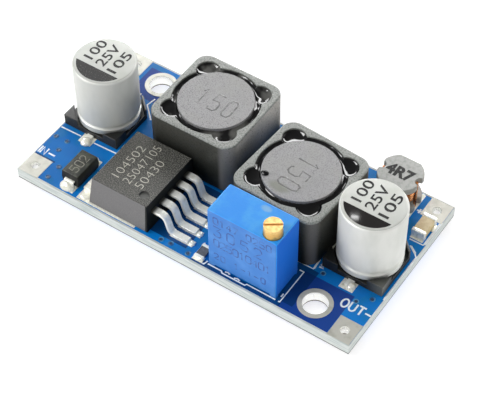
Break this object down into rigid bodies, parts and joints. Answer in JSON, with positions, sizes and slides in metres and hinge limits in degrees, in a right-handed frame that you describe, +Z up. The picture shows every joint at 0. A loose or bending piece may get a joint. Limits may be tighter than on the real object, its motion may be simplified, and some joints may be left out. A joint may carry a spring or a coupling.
{
  "type": "boost converter module",
  "caption": "Blue circuit board that steps a DC voltage up, with can capacitors at the ends, shielded inductors, a tabbed regulator and a screw-set voltage adjuster.",
  "frame": {"origin": "centre of the board's underside, midway between the two mounting holes", "axes": "+X from the input end to the output end along the board, +Y to the back edge, +Z up through the parts"},
  "size_m": [0.049, 0.025, 0.014],
  "materials": {
    "board_laminate": "glossy blue solder mask on glass-fibre laminate",
    "tinned_copper": "dull tin on copper",
    "can_aluminium": "satin",
    "black_plastic": "moulded",
    "tinned_metal": "bright tin",
    "moulded_epoxy": "moulded, fine grain",
    "ferrite": "ground and sintered",
    "copper_wire": "enamelled",
    "black_glue": "glossy",
    "tan_ceramic": "fired",
    "black_ceramic": "glazed",
    "blue_plastic": "moulded",
    "brass": "turned",
    "rubber": "smooth",
    "white_plastic": "moulded",
    "spring_metal": "rolled",
    "white_ceramic": "fired",
    "solder": "bright"
  },
  "bodies": {
    "module": {"circuit_board": "board_laminate", "wire_pads": "tinned_copper", "mounting_rings": "tinned_copper", "adjuster_pads": "tinned_copper", "component_lands": "tinned_copper", "input_capacitor_can": "can_aluminium", "input_capacitor_base": "black_plastic", "input_capacitor_leads": "tinned_metal", "output_capacitor_can": "can_aluminium", "output_capacitor_base": "black_plastic", "output_capacitor_leads": "tinned_metal", "regulator_body": "moulded_epoxy", "regulator_tab": "tinned_metal", "regulator_leads": "tinned_metal", "diode_body": "moulded_epoxy", "diode_tabs": "tinned_metal", "inductor_1_shield": "ferrite", "inductor_1_drum": "ferrite", "inductor_1_winding": "copper_wire", "inductor_1_glue": "black_glue", "inductor_1_feet": "tinned_metal", "inductor_2_shield": "ferrite", "inductor_2_drum": "ferrite", "inductor_2_winding": "copper_wire", "inductor_2_glue": "black_glue", "inductor_2_feet": "tinned_metal", "filter_inductor_drum": "ferrite", "filter_inductor_winding": "copper_wire", "filter_inductor_pads": "tinned_metal", "chip_capacitor_body": "tan_ceramic", "chip_capacitor_ends": "tinned_metal", "chip_resistor_body": "black_ceramic", "chip_resistor_ends": "tinned_metal", "adjuster_housing": "blue_plastic", "adjuster_base_seal": "blue_plastic", "adjuster_clip": "tinned_metal", "adjuster_seal_ring": "rubber", "adjuster_element": "white_ceramic", "adjuster_pins": "tinned_metal", "adjuster_solder": "solder"},
    "worm_screw": {"adjuster_screw": "brass"},
    "wiper_wheel": {"adjuster_wheel": "white_plastic", "adjuster_wiper": "spring_metal"}
  },
  "joints": [
    {"name": "adjuster_turn", "type": "hinge", "parent": "module", "child": "worm_screw", "pos_m": [0.0124, -0.01012, 0.0066], "axis": [0, 0, 1], "range_deg": [-3708, 5292]},
    {"name": "wiper_turn", "type": "hinge", "parent": "module", "child": "wiper_wheel", "pos_m": [0.00853, -0.01012, 0.0066], "axis": [0, 1, 0], "range_deg": [-109.07, 155.66]}
  ],
  "couplings": [
    {"joint": "wiper_turn", "follows": "adjuster_turn", "ratio": 0.029412}
  ]
}
